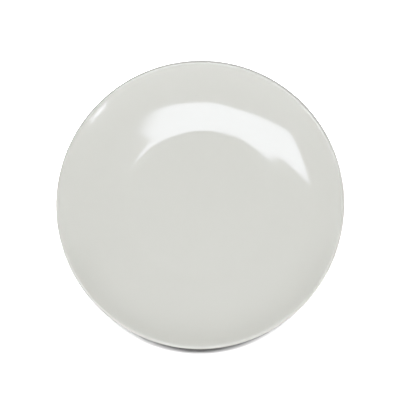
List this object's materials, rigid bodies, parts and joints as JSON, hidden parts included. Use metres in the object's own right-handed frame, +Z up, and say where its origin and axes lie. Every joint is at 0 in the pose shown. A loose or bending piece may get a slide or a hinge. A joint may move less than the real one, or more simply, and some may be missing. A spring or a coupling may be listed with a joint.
{
  "type": "coupe dinner plate",
  "caption": "Round coupe dinner plate in off-white glazed porcelain: a level well sweeps up without a rim to a plain round lip, on a low foot ring left bare where it stands.",
  "frame": {"origin": "centre of the foot ring, on the plane where it stands on the table", "axes": "+Z up along the plate's axis, from the foot towards the face; +X and +Y are any two square directions across the round plate"},
  "size_m": [0.27, 0.27, 0.023],
  "materials": {
    "bare_clay": "matte",
    "glaze": "polished"
  },
  "bodies": {
    "root": {"clay_body": "bare_clay", "glaze_coat": "glaze", "recess_glaze": "glaze"}
  },
  "joints": []
}
